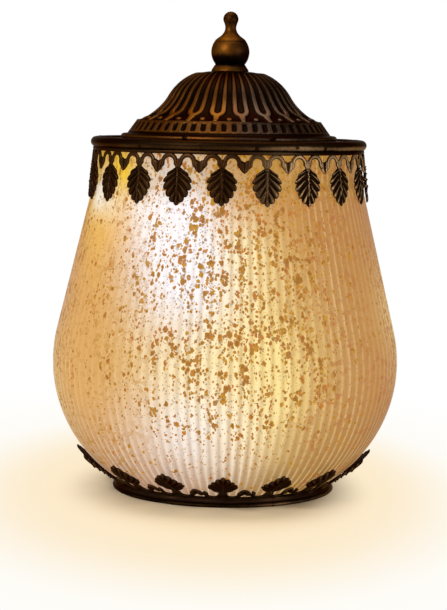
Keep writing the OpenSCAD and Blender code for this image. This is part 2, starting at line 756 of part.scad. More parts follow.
module battery_door() {
    color([0.14, 0.14, 0.14]) difference() {
        union() {
            translate([0, 0, case_z]) linear_extrude(door_t) {
                door_outline(0);
                translate([-barrel_l / 2, hinge_y]) square([barrel_l, door_edge_y - hinge_y + over]);
            }
            translate([0, hinge_y, case_z]) rotate([0, 90, 0])
                cylinder(r = barrel_r, h = barrel_l, center = true);
        }
        translate([0, hinge_y, case_z]) rotate([0, 90, 0])
            cylinder(r = pin_r + pin_gap, h = barrel_l + over, center = true);
        translate([0, tab_y, case_z - over]) cylinder(r = door_screw_r + 0.2, h = door_t + 2 * over);
    }
}

module door_pin() {
    color("silver") translate([0, hinge_y, case_z]) rotate([0, 90, 0])
        cylinder(r = pin_r, h = barrel_l + 0.6 + 2 * ear_w, center = true);
}

module door_screw() {
    color("silver") translate([0, tab_y, case_z]) difference() {
        union() {
            translate([0, 0, -screw_head_h]) cylinder(r = 2, h = screw_head_h);
            translate([0, 0, -tiny]) cylinder(r = door_screw_r, h = door_t + door_screw_bite);
        }
        cross_slot(1.3, -screw_head_h);
    }
}

module circuit_board() {
    board_gap = 0.3;
    board_end = cover_screw_at[1] - cover_post_r - board_gap;
    color([0.1, 0.35, 0.15]) translate([0, 0, board_z - board_t]) linear_extrude(board_t) intersection() {
        cover_outline(circuit_r - board_gap, circuit_x + board_gap);
        translate([0, -circuit_r]) square([circuit_r, circuit_r + board_end]);
    }
}

module timer_chip() {
    color([0.08, 0.08, 0.08]) translate([switch_x - 3, -5, board_z - board_t - 1.7]) cube([4, 5, 1.7]);
}

module switch_body() {
    color("silver") translate([switch_x, switch_y, board_z - board_t - switch_h]) difference() {
        translate([-switch_w / 2, -switch_l / 2, 0]) cube([switch_w, switch_l, switch_h]);
        translate([-slider_w / 2 - 0.3, -slider_l / 2 - switch_step - 0.3, -over])
            cube([slider_w + 0.6, slider_l + 2 * switch_step + 0.6, over + switch_h / 2 + 0.3]);
    }
}

module switch_slider() {
    low = case_z - slider_out;
    high = board_z - board_t - switch_h / 2;
    color("black") translate([switch_x - slider_w / 2, switch_y - slider_l / 2 - switch_step, low])
        cube([slider_w, slider_l, high - low]);
}

module circuit_cover() {
    color([0.14, 0.14, 0.14]) difference() {
        translate([0, 0, case_z]) linear_extrude(door_t) cover_outline(cover_r, cover_x);
        translate([switch_x - slider_w / 2 - 0.3, switch_y - slider_l / 2 - switch_step - 0.3, case_z - over])
            cube([slider_w + 0.6, slider_l + 2 * switch_step + 0.6, door_t + 2 * over]);
        translate([grommet_at[0], grommet_at[1], case_z - over])
            cylinder(r = grommet_neck_r, h = door_t + 2 * over);
        translate([cover_screw_at[0], cover_screw_at[1], case_z - over])
            cylinder(r = cover_screw_r + 0.2, h = door_t + 2 * over);
    }
}

module cover_screw() {
    color("silver") translate([cover_screw_at[0], cover_screw_at[1], case_z]) difference() {
        union() {
            translate([0, 0, -screw_head_h]) cylinder(r = 2, h = screw_head_h);
            translate([0, 0, -tiny]) cylinder(r = cover_screw_r, h = cover_screw_l);
        }
        cross_slot(1.3, -screw_head_h);
    }
}

// Cross slot of a screw head whose face is at low
module cross_slot(half, low) {
    for (turn = [0, 90]) rotate([0, 0, turn]) translate([-half, -slot_w / 2, low - over])
        cube([2 * half, slot_w, over + slot_depth]);
}

module wire_grommet() {
    lip_t = 0.8;
    color([0.1, 0.1, 0.1]) translate([grommet_at[0], grommet_at[1], 0]) difference() {
        union() {
            translate([0, 0, case_z - lip_t]) cylinder(r = grommet_r, h = lip_t);
            translate([0, 0, case_z - lip_t]) cylinder(r = grommet_neck_r, h = door_t + 2 * lip_t);
            translate([0, 0, case_z + door_t]) cylinder(r = grommet_r, h = lip_t);
        }
        translate([0, 0, case_z - 2 * over]) cylinder(r = wire_r + 0.15, h = door_t + 4 * over);
    }
}

module light_wire() {
    color([0.72, 0.45, 0.25]) tube(wire_points, wire_r, 6, wire_up);
}

module light_beads() {
    color([1, 0.95, 0.8]) for (i = [0 : lamps - 1])
        translate(coil_point(coil_turns - i * lamp_turn)) sphere(lamp_r);
}

glass_bowl();
foot_ring();
foot_gallery();
foot_sealant();
collar_rim();
collar_gallery();
collar_sealant();
lid_plate();
lid_dome();
finial();
knob_screw();
knob_washer();
battery_case();
case_screws();
battery_cells();
contact_springs();
contact_plates();
circuit_board();
timer_chip();
switch_body();
circuit_cover();
cover_screw();
door_pin();
wire_grommet();
light_wire();
light_beads();
battery_door();
door_screw();
switch_slider();
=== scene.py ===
# Grave lantern: ribbed, speckled silvered glass in pressed and rubbed bronze mounts, with a lift-off lid.
# Metres, +Z up, the foot's centre on the floor at the origin, and -Y is the front.
import bmesh
import bpy
from math import asin, atan2, ceil, cos, exp, hypot, pi, radians, sin, sqrt, tan
from mathutils import Euler, Matrix, Vector, noise


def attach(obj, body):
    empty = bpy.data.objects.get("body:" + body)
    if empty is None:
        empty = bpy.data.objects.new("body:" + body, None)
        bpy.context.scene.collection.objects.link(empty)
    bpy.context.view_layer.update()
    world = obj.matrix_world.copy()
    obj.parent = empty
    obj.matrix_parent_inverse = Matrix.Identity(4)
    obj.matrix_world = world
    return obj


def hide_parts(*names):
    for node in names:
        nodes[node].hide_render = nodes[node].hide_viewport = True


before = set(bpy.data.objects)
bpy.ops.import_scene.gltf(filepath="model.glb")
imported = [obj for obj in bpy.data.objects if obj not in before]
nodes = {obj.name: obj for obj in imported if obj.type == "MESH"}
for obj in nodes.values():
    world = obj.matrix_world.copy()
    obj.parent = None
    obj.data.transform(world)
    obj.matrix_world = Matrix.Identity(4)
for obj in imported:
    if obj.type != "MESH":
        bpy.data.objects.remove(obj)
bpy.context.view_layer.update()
mm = 0.001
print("frame loaded:", len(nodes), "nodes")


# Shader maths written as expressions: a Wire wraps one socket of one finish
class Wire:
    def __init__(self, finish, socket):
        self.finish = finish
        self.socket = socket

    def math(self, operation, *others, clamp=False):
        values = dict(enumerate((self,) + others))
        return self.finish.add("ShaderNodeMath", {"operation": operation, "use_clamp": clamp}, values)

    def __add__(self, other):
        return self.math("ADD", other)

    def __sub__(self, other):
        return self.math("SUBTRACT", other)

    def __mul__(self, other):
        return self.math("MULTIPLY", other)

    def __truediv__(self, other):
        return self.math("DIVIDE", other)

    def __rsub__(self, other):
        return self.finish.add("ShaderNodeMath", {"operation": "SUBTRACT"}, {0: other, 1: self})

    def __pow__(self, other):
        return self.math("POWER", other)

    __radd__ = __add__
    __rmul__ = __mul__

    def clamp(self):
        return self.math("ADD", 0.0, clamp=True)

    def step(self, low, high):
        # 0 below low and 1 above high, smooth in between
        return self.finish.add("ShaderNodeMapRange", {"interpolation_type": "SMOOTHSTEP"},
                               {0: self, 1: low, 2: high, 3: 0.0, 4: 1.0})

    def ramp(self, stops):
        return self.finish.add("ShaderNodeValToRGB", {"stops": stops}, {0: self})


class Finish:
    def __init__(self, name):
        self.material = bpy.data.materials.new(name)
        self.material.use_nodes = True
        self.tree = self.material.node_tree
        self.tree.nodes.clear()
        self.place = self.add("ShaderNodeTexCoord", output="Object")

    def add(self, kind, settings=None, values=None, output=0):
        node = self.tree.nodes.new(kind)
        for name, value in (settings or {}).items():
            if name == "stops":
                ramp = node.color_ramp
                while len(ramp.elements) < len(value):
                    ramp.elements.new(0.5)
                for element, (position, colour) in zip(ramp.elements, value):
                    element.position = position
                    element.color = (*colour, 1)
            else:
                setattr(node, name, value)
        for name, value in (values or {}).items():
            if isinstance(value, Wire):
                self.tree.links.new(value.socket, node.inputs[name])
            else:
                node.inputs[name].default_value = value
        return Wire(self, node.outputs[output])

    def noise(self, scale, detail=2.0, roughness=0.5, distortion=0.0, vector=None, colour=False):
        values = {"Vector": vector or self.place, "Scale": scale, "Detail": detail,
                  "Roughness": roughness, "Distortion": distortion}
        return self.add("ShaderNodeTexNoise", {}, values, "Color" if colour else "Fac")

    def cells(self, scale, vector=None, output="Distance", feature="F1"):
        return self.add("ShaderNodeTexVoronoi", {"feature": feature},
                        {"Vector": vector or self.place, "Scale": scale}, output)

    def vector(self, operation, *values, output=0):
        return self.add("ShaderNodeVectorMath", {"operation": operation}, dict(enumerate(values)), output)

    def stretched(self, x, y, z):
        return self.vector("MULTIPLY", self.place, (x, y, z))

    def parts(self, vector):
        split = self.add("ShaderNodeSeparateXYZ", {}, {0: vector}).socket.node
        return [Wire(self, socket) for socket in split.outputs]

    def mix(self, mask, first, second, blend="MIX"):
        first = first if isinstance(first, Wire) else (*first, 1)
        second = second if isinstance(second, Wire) else (*second, 1)
        return self.add("ShaderNodeMix", {"data_type": "RGBA", "blend_type": blend},
                        {0: mask, 6: first, 7: second}, 2)

    def attribute(self, name):
        return self.add("ShaderNodeAttribute", {"attribute_name": name}, {}, "Fac")

    def bump(self, height, depth, strength=1.0):
        return self.add("ShaderNodeBump", {}, {"Strength": strength, "Distance": depth, "Height": height})

    def surface(self, values, settings=None):
        return self.add("ShaderNodeBsdfPrincipled", settings, values)

    def blend(self, mask, first, second):
        return self.add("ShaderNodeMixShader", {}, {0: mask, 1: first, 2: second})

    def done(self, shader):
        node = self.tree.nodes.new("ShaderNodeOutputMaterial")
        self.tree.links.new(shader.socket, node.inputs["Surface"])
        return self.material


# Mesh helpers. Sizes are in mm until a vertex is placed
def newMesh():
    mesh = bmesh.new()
    mesh.verts.layers.float.new("relief")
    return mesh


def mapped(mesh, across, along, place):
    # A grid whose vertices go where place(s, t) says, s and t from 0 to 1, with its relief
    layer = mesh.verts.layers.float["relief"]
    grid = bmesh.ops.create_grid(mesh, x_segments=across, y_segments=along, size=0.5)["verts"]
    for vert in grid:
        point, relief = place(vert.co.x + 0.5, vert.co.y + 0.5)
        vert.co = Vector(point) * mm
        vert[layer] = relief
    return grid


def turned(mesh, profile, columns, change=None):
    # A profile of (radius, height) turned round Z. change(index, angle) gives how far a point stands out
    # along the profile's normal, and its relief
    count = len(profile)
    normals = []
    for i in range(count):
        before, after = profile[max(i - 1, 0)], profile[min(i + 1, count - 1)]
        run = Vector((after[0] - before[0], after[1] - before[1]))
        run = run.normalized() if run.length > 0 else Vector((0, 1))
        normals.append((run.y, -run.x))

    def place(s, t):
        index = round(t * (count - 1))
        angle = 2 * pi * s
        out, relief = change(index, angle) if change else (0, 0.5)
        radius = max(profile[index][0] + out * normals[index][0], 0)
        height = profile[index][1] + out * normals[index][1]
        return (radius * cos(angle), radius * sin(angle), height), relief
    return mapped(mesh, columns, count - 1, place)


def arc(centre, radius, start, end, steps):
    # Points on an arc of a profile, its angles in degrees
    turns = [radians(start + (end - start) * i / steps) for i in range(steps + 1)]
    return [(centre[0] + radius * cos(a), centre[1] + radius * sin(a)) for a in turns]


def line(first, second, steps):
    return [(first[0] + (second[0] - first[0]) * i / steps, first[1] + (second[1] - first[1]) * i / steps)
            for i in range(steps + 1)]


def tube(mesh, path, radius, sides=12):
    # A round tube along a path of points, closed at both ends
    points = [Vector(p) for p in path]
    points = [points[0]] + points + [points[-1]]
    count = len(points)
    frames = []
    side = Vector((0.1, 1, 0.05))
    for i in range(count):
        ahead = points[min(i + 1, count - 1)] - points[max(i - 1, 0)]
        if ahead.length < 1e-9:
            ahead = points[min(i + 2, count - 1)] - points[max(i - 2, 0)]
        ahead.normalize()
        side = (side - ahead * side.dot(ahead)).normalized()
        frames.append((side, ahead.cross(side)))

    def place(s, t):
        i = round(t * (count - 1))
        a = 2 * pi * s
        size = 0 if i in (0, count - 1) else radius
        first, second = frames[i]
        return points[i] + (first * cos(a) + second * sin(a)) * size, 0.5
    return mapped(mesh, sides, count - 1, place)


def smoothStep(value, low, high):
    t = min(max((value - low) / (high - low), 0), 1)
    return t * t * (3 - 2 * t)


def makePiece(name, mesh, body, finish, slotName, *replaced):
    bmesh.ops.remove_doubles(mesh, verts=mesh.verts, dist=2e-6)
    bmesh.ops.recalc_face_normals(mesh, faces=mesh.faces)
    for face in mesh.faces:
        face.smooth = True
    data = bpy.data.meshes.new(name)
    mesh.to_mesh(data)
    mesh.free()
    piece = bpy.data.objects.new(name, data)
    bpy.context.scene.collection.objects.link(piece)
    data.materials.append(finish)
    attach(piece, body)
    if replaced:
        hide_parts(*replaced)
    print("piece made:", name, len(data.polygons), "faces")
    return piece


# String of lights: the coil's lamps; the glass finish paints its glow at its own listed places
lights = {"coilRadius": 37.5, "coilTop": 110, "coilPitch": 16.762, "coilStart": -15, "coilTurns": 5.25,
          "wireRadius": 0.6, "lamps": 11, "lampTurn": 0.4975, "grommet": (24.85, -10), "caseBottom": 121}


def coilPoint(turn):
    angle = radians(lights["coilStart"] - 360 * turn)
    radius = lights["coilRadius"]
    return Vector((radius * cos(angle), radius * sin(angle), lights["coilTop"] - lights["coilPitch"] * turn))


lampPlaces = [coilPoint(lights["coilTurns"] - lights["lampTurn"] * i) for i in range(lights["lamps"])]

# Glass jar: a closed wall with upright reeds pressed on its outside
jar = {"bellyRadius": 64.3, "bellyHeight": 47.8, "curveRadius": 51.5, "lean": 13.55, "wall": 3,
       "neckRadius": 48.5, "shoulderHeight": 112, "neckHeight": 116, "lipHeight": 126.3, "baseHeight": 2.2,
       "floorHeight": 6.2, "puntWidth": 6, "puntDepth": 1.5, "reeds": 108, "reedColumns": 8,
       "reedLow": 0.62, "reedHigh": 0.3}
# Glass colours: painted glow that stands in for the lamps' light through the glass, painted reed shade and highlights,
# and the silvering's own flakes, rust and pinpricks
paintedGlowAndSilvering = {"centre": (0.54, 0.21, 0.015), "left": (0.62, 0.32, 0.09), "right": (0.40, 0.165, 0.035),
        "lowLeftShade": (0.29, 0.22, 0.22), "lowRightShade": (0.09, 0.09, 0.0), "top": (0.45, 0.27, 0.05),
        "white": (0.92, 0.92, 0.98), "gold": (0.92, 0.72, 0.25), "amber": (0.88, 0.48, 0.03),
        "yellow": (0.90, 0.57, 0.004), "core": (0.98, 0.94, 0.80),
        "edge": (0.20, 0.075, 0.03), "valleyShade": (0.34, 0.19, 0.08), "lowValleyShade": (0.33, 0.24, 0.23), "crest": (0.98, 0.88, 0.74),
        "flake": (0.27, 0.092, 0.0), "paleFlake": (0.49, 0.225, 0.008), "redFlake": (0.48, 0.155, 0.014),
        "pin": (0.20, 0.12, 0.06), "whitePin": (0.27, 0.25, 0.30), "rust": (0.36, 0.085, 0.012), "leftRust": (0.44, 0.19, 0.012), "sideCrestHighlight": (0.80, 0.55, 0.25),
        "olive": (0.17, 0.11, 0.03),
        # Painted glow spots where the lamps show through: place, reach and strength
        "whiteSpots": ((-24, -43, 113, 19, 1.0), (-18, -50, 98, 18, 0.7), (-14, -57, 77, 17, 0.85),
                       (-12, -60, 30, 21, 0.7),
                       (-57, 14, 74, 18, 0.75), (50, 17, 100, 17, 0.65)),
        "goldSpots": ((3, -54, 92, 15, 0.6), (5, -63, 42, 22, 0.7), (0, -63, 58, 32, 1.0), (-62, 0, 38, 21, 0.8),
                      (63, 0, 66, 22, 0.85)),
        "amberSpots": ((-44, -28, 103, 19, 0.6),), "yellowSpots": ((-47, -16, 115, 13, 1.1), (-38, -31, 119, 9, 0.9)),
        "coreSpots": ((-45, -20, 111, 7, 1.3), (-39, -29, 107, 6.5, 0.5))}


def jarProfile(inset):
    # From the foot of the wall up to the lip
    centre = jar["bellyRadius"] - jar["curveRadius"], jar["bellyHeight"]
    radius = jar["curveRadius"] - inset
    low = jar["baseHeight"] if inset == 0 else jar["floorHeight"]
    start = -asin((centre[1] - low) / radius)
    steps = 34 if inset == 0 else 10
    curve = arc(centre, radius, start * 180 / pi, jar["lean"], steps)
    meet = curve[-1]
    shoulder = meet[0] - (jar["shoulderHeight"] - meet[1]) * tan(radians(jar["lean"])), jar["shoulderHeight"]
    side = line(meet, shoulder, 22 if inset == 0 else 4)
    neck = jar["neckRadius"] - inset
    ease = [(neck + (shoulder[0] - neck) * (1 + cos(pi * i / 5)) / 2,
             jar["shoulderHeight"] + (jar["neckHeight"] - jar["shoulderHeight"]) * i / 5) for i in range(6)]
    top = line((neck, jar["neckHeight"]), (neck, jar["lipHeight"]), 3)
    return curve[:-1] + side[:-1] + ease[:-1] + top


def buildJar(finish):
    outside = jarProfile(0)
    inside = jarProfile(jar["wall"])
    landRadius = outside[0][0] - jar["puntWidth"]
    under = [(0, jar["baseHeight"] + jar["puntDepth"]), (landRadius - 1.5, jar["baseHeight"] + jar["puntDepth"]),
             (landRadius, jar["baseHeight"])]
    profile = under + outside + inside[::-1] + [(0, jar["floorHeight"])]
    firstOut = len(under)
    lastOut = firstOut + len(outside)

    def change(index, angle):
        if index < firstOut or index >= lastOut:
            return 0, 1
        height = profile[index][1]
        depth = jar["reedHigh"] + (jar["reedLow"] - jar["reedHigh"]) * (1 - smoothStep(height, 20, 75))
        depth *= smoothStep(height, 1.5, 7) * (1 - smoothStep(height, 108, 114))
        crest = cos(angle * jar["reeds"] / 2) ** 2
        wander = 0.25 * noise.noise(Vector((cos(angle) * 3, sin(angle) * 3, height * 0.02)))
        return depth * (crest - 1) + wander * depth * 0.3, crest
    mesh = newMesh()
    turned(mesh, profile, jar["reeds"] * jar["reedColumns"], change)
    return makePiece("glassJar", mesh, "lantern", finish, "silvered_glass", "glass_bowl")


def glassFinish():
    f = Finish("SpeckledGlass")
    x, y, z = f.parts(f.place)
    rib = f.attribute("relief")
    # The painted lamp glow shows alike at the front and the back
    doubled = f.add("ShaderNodeCombineXYZ", {}, {0: x, 1: y.math("ABSOLUTE") * -1.0, 2: z})

    def spots(places):
        total = 0.0
        for across, deep, high, reach, strength in places:
            distance = f.vector("DISTANCE", doubled, (across * mm, deep * mm, high * mm), output=1)
            total = ((distance * (1 / (reach * mm))) ** 2.0 * -1.0).math("EXPONENT") * strength + total
        return total

    cloud = f.noise(45.0, 3.0, 0.55) * 0.9 + 0.55
    white = (spots(paintedGlowAndSilvering["whiteSpots"]) * cloud).clamp()
    gold = (spots(paintedGlowAndSilvering["goldSpots"]) * cloud).clamp()
    # Painted glow: lighter amber on the left and duller on the right, painted shade low down, painted glow spots in
    # gold, white, amber, yellow and a white-hot core, and a painted glow band under the neck
    low = 1 - z.step(0.0, 0.045)
    colour = f.mix(x.step(-0.02, 0.04), paintedGlowAndSilvering["centre"], paintedGlowAndSilvering["right"])
    colour = f.mix((x * -1.0).step(0.0, 0.06), colour, paintedGlowAndSilvering["left"])
    colour = f.mix(low * 0.55, colour, f.mix(x.step(-0.03, 0.03), paintedGlowAndSilvering["lowLeftShade"], paintedGlowAndSilvering["lowRightShade"]))
    colour = f.mix(gold, colour, paintedGlowAndSilvering["gold"])
    colour = f.mix(white, colour, paintedGlowAndSilvering["white"])
    colour = f.mix(z.step(0.107, 0.117) * 0.5, colour, paintedGlowAndSilvering["top"])
    for kind, tint in (("amber", "amber"), ("yellow", "yellow"), ("core", "core")):
        colour = f.mix(spots(paintedGlowAndSilvering[kind + "Spots"]).clamp(), colour, paintedGlowAndSilvering[tint])

    # Painted reed shading: painted shade in the reed hollows and painted highlights on their crests, stronger near the
    # painted lamp glow and low down, some reeds more than others
    uneven = f.noise(70.0, 2.0, vector=f.stretched(1, 1, 0.15)).step(0.3, 0.7)
    lit = (gold * (1 - white * 0.6) + white * 0.15 + low * 1.1).clamp()
    valleyShade = f.mix(low * (1 - x.step(-0.02, 0.02)), paintedGlowAndSilvering["valleyShade"], paintedGlowAndSilvering["lowValleyShade"])
    ragged = rib + (f.noise(450.0, 2.0) - 0.5) * 0.25
    hollow = 1 - ragged
    # A band on the right gets deeper painted shade in the hollows and a painted side highlight on the crests
    paintedSideMask = x.step(0.012, 0.03) * (1 - x.step(0.042, 0.056))
    colour = f.mix(hollow * hollow * (lit * 0.5 + paintedSideMask * 0.25 + 0.08) * (uneven * 0.6 + 0.5), colour, valleyShade)
    crest = ragged.step(0.68, 1.02) * (uneven * 0.7 + 0.3)
    colour = f.mix(crest * (lit * (1 - paintedSideMask * 0.7) * 0.38 + 0.03), colour, paintedGlowAndSilvering["crest"])
    colour = f.mix(crest * paintedSideMask * 0.5, colour, paintedGlowAndSilvering["sideCrestHighlight"])
    rust = f.noise(430.0, 3.0, 0.6).step(0.51, 0.59) * x.math("ABSOLUTE").step(0.016, 0.036)
    colour = f.mix(rust * f.noise(90.0, 1.0).step(0.3, 0.65) * 0.65, colour,
                   f.mix(x.step(-0.01, 0.01), paintedGlowAndSilvering["leftRust"], paintedGlowAndSilvering["rust"]))

    # Rubbed silvering: separate flakes of two sizes in upright chains, and pinpricks
    flat = f.vector("MULTIPLY", doubled, (1, 1, 0.5))
    wings = f.add("ShaderNodeCombineXYZ", {}, {0: x.math("ABSOLUTE"), 1: y, 2: z * 0.5})
    front = f.vector("DISTANCE", flat, (0.005, -0.062, 0.042), output=1) * -20.0 + 1.33
    side = f.vector("DISTANCE", wings, (0.062, 0, 0.036), output=1) * -30.0 + 1.1
    amount = front.math("MAXIMUM", side).clamp() * z.step(0.008, 0.045)
    chain = f.noise(300.0, 1.0, vector=f.stretched(1, 1, 0.16)) - 0.5
    thick = amount * 0.22 + chain * 0.7 - 0.07

    def flakes(scale, ragged, size):
        place = f.vector("MULTIPLY_ADD", f.noise(scale * 2, 2.0, colour=True), (ragged, ragged, ragged), f.place)
        place = f.vector("MULTIPLY", place, (1, 1, 0.75))
        chance = f.parts(f.cells(scale, place, "Color"))[1]
        return thick + chance * 0.35 + size - f.cells(scale, place)
    score = flakes(460.0, 0.0016, 0.0).math("MAXIMUM", flakes(840.0, 0.0010, 0.025))
    flakeColour = f.mix(f.noise(220.0, 1.0).step(0.45, 0.6), paintedGlowAndSilvering["paleFlake"], paintedGlowAndSilvering["redFlake"])
    flakeColour = f.mix(score.step(0.03, 0.2) * f.noise(420.0, 2.0).step(0.35, 0.6), flakeColour, paintedGlowAndSilvering["flake"])
    flakeColour = f.mix(f.noise(1100.0, 1.0).step(0.5, 0.62) * 0.3, flakeColour, paintedGlowAndSilvering["olive"])
    colour = f.mix(score.step(0.0, 0.03), colour, flakeColour)
    specks = f.vector("MULTIPLY_ADD", f.noise(2600.0, 1.0, colour=True), (0.0007, 0.0007, 0.0007), f.place)
    pinSize = f.parts(f.cells(1250.0, specks, "Color"))[1] * 0.9 + amount * 0.16 + white * 0.1 - 0.32
    # Pinpricks of the silvering, with a lilac tone where the painted white glow is
    pin = f.mix(white, paintedGlowAndSilvering["pin"], paintedGlowAndSilvering["whitePin"])
    colour = f.mix((pinSize - 0.2 - f.cells(1250.0, specks)).step(0.0, 0.1) * 0.65, colour, pin)

    skin = {"Base Color": (0.09, 0.055, 0.022, 1), "Roughness": 0.36, "Specular IOR Level": 0.12,
            "Emission Strength": 1.0, "Normal": f.bump(f.noise(2200.0, 2.0), 0.00004, 0.5)}
    # The painted glow gives way to a darker painted amber glow toward the edge of the view, without the reeds showing
    # in it
    outward = f.vector("NORMALIZE", f.vector("MULTIPLY_ADD", f.place, (1, 1, 1), (0, 0, -0.048)))
    facing = f.add("ShaderNodeLayerWeight", {}, {"Blend": 0.5, "Normal": outward}, "Facing")
    return f.done(f.blend(facing.step(0.45, 1.0) * 0.45, f.surface({**skin, "Emission Color": colour}),
                          f.surface({**skin, "Emission Color": (*paintedGlowAndSilvering["edge"], 1)})))


# Metal finishes: dark in the hollows, rubbed golden brown on what stands proud, with a painted side tone on the right
def bronzeFinish(name, dark, ridge, rough, rub=1.0, paintedSideLight=None, side=(0.0, 0.02), top=None, wear=(0.35, 0.95),
                 paintedCrestRange=(0.62, 1.05), bump=0.00006):
    f = Finish(name)
    x, y, z = f.parts(f.place)
    relief = f.attribute("relief")
    fine = f.noise(900.0, 3.0, 0.6)
    broad = f.noise(70.0, 3.0, 0.55)
    uneven = relief + (fine - 0.5) * 0.35 + (broad - 0.5) * 0.5
    worn = uneven.step(*wear) * rub
    lively = f.mix(broad.step(0.35, 0.65), ridge, tuple(c * k for c, k in zip(ridge, (0.62, 0.52, 0.42))))
    # Painted side light: on the right the colour turns to a painted side tone, lighter on some finishes and a darker
    # painted shade on others, and the crests there get a painted highlight in place of the wear
    if paintedSideLight:
        paintedSideMask = x.step(*side)
        lively = f.mix(paintedSideMask * 0.9, lively, paintedSideLight)
        worn = worn * (1 - paintedSideMask) + uneven.step(*paintedCrestRange) * paintedSideMask
    if top:
        worn = worn * (1 - z.step(*top) * 0.75)
    colour = f.mix(worn, dark, lively)
    spots = (0.2 - f.cells(420.0)).step(0.0, 0.1) * fine.step(0.5, 0.62)
    colour = f.mix(spots * 0.7, colour, (0.012, 0.008, 0.006))
    roughness = fine * 0.22 + (rough - 0.11)
    normal = f.bump(f.noise(1400.0, 3.0, 0.6) * 0.6 + f.noise(240.0, 2.0) * 0.6, bump)
    return f.done(f.surface({"Base Color": colour, "Metallic": 1.0, "Roughness": roughness,
                             "Specular Tint": (0.5, 0.42, 0.36, 1), "Normal": normal}))


def plainMetal(name, colour, rough, scratch=0.00002):
    f = Finish(name)
    brushed = f.noise(500.0, 3.0, vector=f.stretched(1, 1, 6))
    shade = f.mix(brushed.step(0.3, 0.7), tuple(c * 0.72 for c in colour), colour)
    normal = f.bump(f.noise(1600.0, 3.0), scratch)
    return f.done(f.surface({"Base Color": shade, "Metallic": 1.0, "Roughness": brushed * 0.2 + rough,
                             "Normal": normal}))


def mouldedFinish(name, colour, rough, grain=1800.0, depth=0.00002, metallic=0.0):
    f = Finish(name)
    cloud = f.noise(120.0, 3.0)
    shade = f.mix(cloud.step(0.3, 0.7), tuple(c * 0.75 for c in colour), colour)
    normal = f.bump(f.noise(grain, 3.0, 0.65), depth)
    return f.done(f.surface({"Base Color": shade, "Metallic": metallic, "Roughness": cloud * 0.16 + rough,
                             "Normal": normal}))


# Leaf strip: one leaf, one bud and two arches drawn flat, then wrapped round the collar and the foot.
# Flat places are (depth below the rail, distance to the side, height)
leaf = {"stem": 4.9, "blade": 13.1, "halfWidth": 5.3, "notch": 0.14, "lobeColumns": 8, "rows": 10,
        "origins": (-0.02, 0.0, 0.06, 0.19, 0.35, 0.53, 0.72),
        "tips": ((-0.02, 0.12), (0.13, 0.68), (0.33, 0.97), (0.53, 0.95), (0.73, 0.72), (0.89, 0.42), (1, 0)),
        "sheet": 0.3, "petalHeight": 0.5, "ribHeight": 0.5,
        "budWidth": 2.3, "budTop": 1.9, "budNotch": 0.7, "budLength": 6.7, "budHeight": 0.75,
        "archRadius": 2.52, "archMiddle": (3.05, 3.42), "archWidth": 0.82, "archHeight": 0.45, "pitch": 15.55}


def leafPlace(side, front):
    origins, tips, length, width = leaf["origins"], leaf["tips"], leaf["blade"], leaf["halfWidth"]
    column = 1 / (6 * leaf["lobeColumns"] + 1)
    row = 1 / (leaf["rows"] + 1)

    def place(s, t):
        # The first column and the last row of the front drop to the back as walls
        wall = s < column / 2 or t > 1 - row / 2
        fan = max(s - column, 0) / (1 - column) * 6
        t = min(t / (1 - row), 1)
        i = min(int(fan), 5)
        part = fan - i
        origin = origins[i] + (origins[i + 1] - origins[i]) * part
        tipU = tips[i][0] + (tips[i + 1][0] - tips[i][0]) * part
        tipV = tips[i][1] + (tips[i + 1][1] - tips[i][1]) * part
        off = abs(fan - round(fan))
        scale = 1.04 - leaf["notch"] * (1 - max(1 - 4 * off * off, 0) ** 0.5) if fan > 0.5 else 1
        u = leaf["stem"] + length * (origin + (tipU - origin) * t * scale)
        v = width * tipV * t * scale
        if wall or not front:
            return (u, v * side, 0), 0.3
        petal = 1 - smoothStep(off - (0.06 + 0.36 * t), -0.05, 0.11)
        edge = smoothStep(t, 0.85, 1.0)
        rib = exp(-(v / 0.42) ** 2) * (1 - smoothStep(fan, 5.6, 6))
        height = leaf["sheet"] + leaf["petalHeight"] * petal * (1 - 0.7 * edge) + leaf["ribHeight"] * rib
        return (u, v * side, height), max(petal * (0.42 + 0.2 * t) + 0.38 * exp(-(off / 0.13) ** 2) * min(3 * t, 1), rib)
    return place


def budPlace(s, t):
    # s runs round the section and t down to the tip
    across, over = cos(2 * pi * s), sin(2 * pi * s)
    width = leaf["budWidth"] * (1 - t ** 2.2) ** 0.75 * (1.0 + 0.08 * sin(pi * t))
    top = leaf["budTop"] + leaf["budNotch"] * (1 - min(abs(across) * 1.6, 1))
    lobe = smoothStep(abs(across), 0.06, 0.35)
    body = leaf["budHeight"] * (0.45 + 0.55 * lobe) * smoothStep(t, 0, 0.12) * max(over, 0) ** 0.5
    return (top + (leaf["budLength"] - top) * t, leaf["pitch"] / 2 + width * across, body), 0.25 + 0.7 * lobe


def archPath(side):
    # From the leaf's stem up round the opening and down into the bud, as (depth, side, share of the width)
    radius = leaf["archRadius"]
    low, middle = leaf["archMiddle"]
    points = [(leaf["stem"] + 1.2, 0.2, 0.5), (leaf["stem"] - 0.2, 0.3, 0.8), (3.9, 0.55, 0.95)]
    for i in range(15):
        a = radians(-10 + 200 * i / 14)
        points.append((low - radius * sin(a), middle - radius * cos(a), 1))
    points += [(4.0, middle + radius + 0.15, 0.9), (4.8, middle + radius + 0.7, 0.6)]
    return [(u, v * side, w) for u, v, w in points]


def ribbonPlace(path):
    path = [path[0]] + path + [path[-1]]
    count = len(path)

    def place(s, t):
        i = round(t * (count - 1))
        before, after = path[max(i - 1, 0)], path[min(i + 1, count - 1)]
        run = Vector((after[0] - before[0], after[1] - before[1])).normalized()
        a = 2 * pi * s
        u, v, w = path[i]
        wide = 0 if i in (0, count - 1) else leaf["archWidth"] * w
        tall = 0 if i in (0, count - 1) else leaf["archHeight"]
        return (u - run.y * wide * cos(a), v + run.x * wide * cos(a), 0.3 + tall * sin(a)), 0.45 + 0.5 * sin(a)
    return place, count


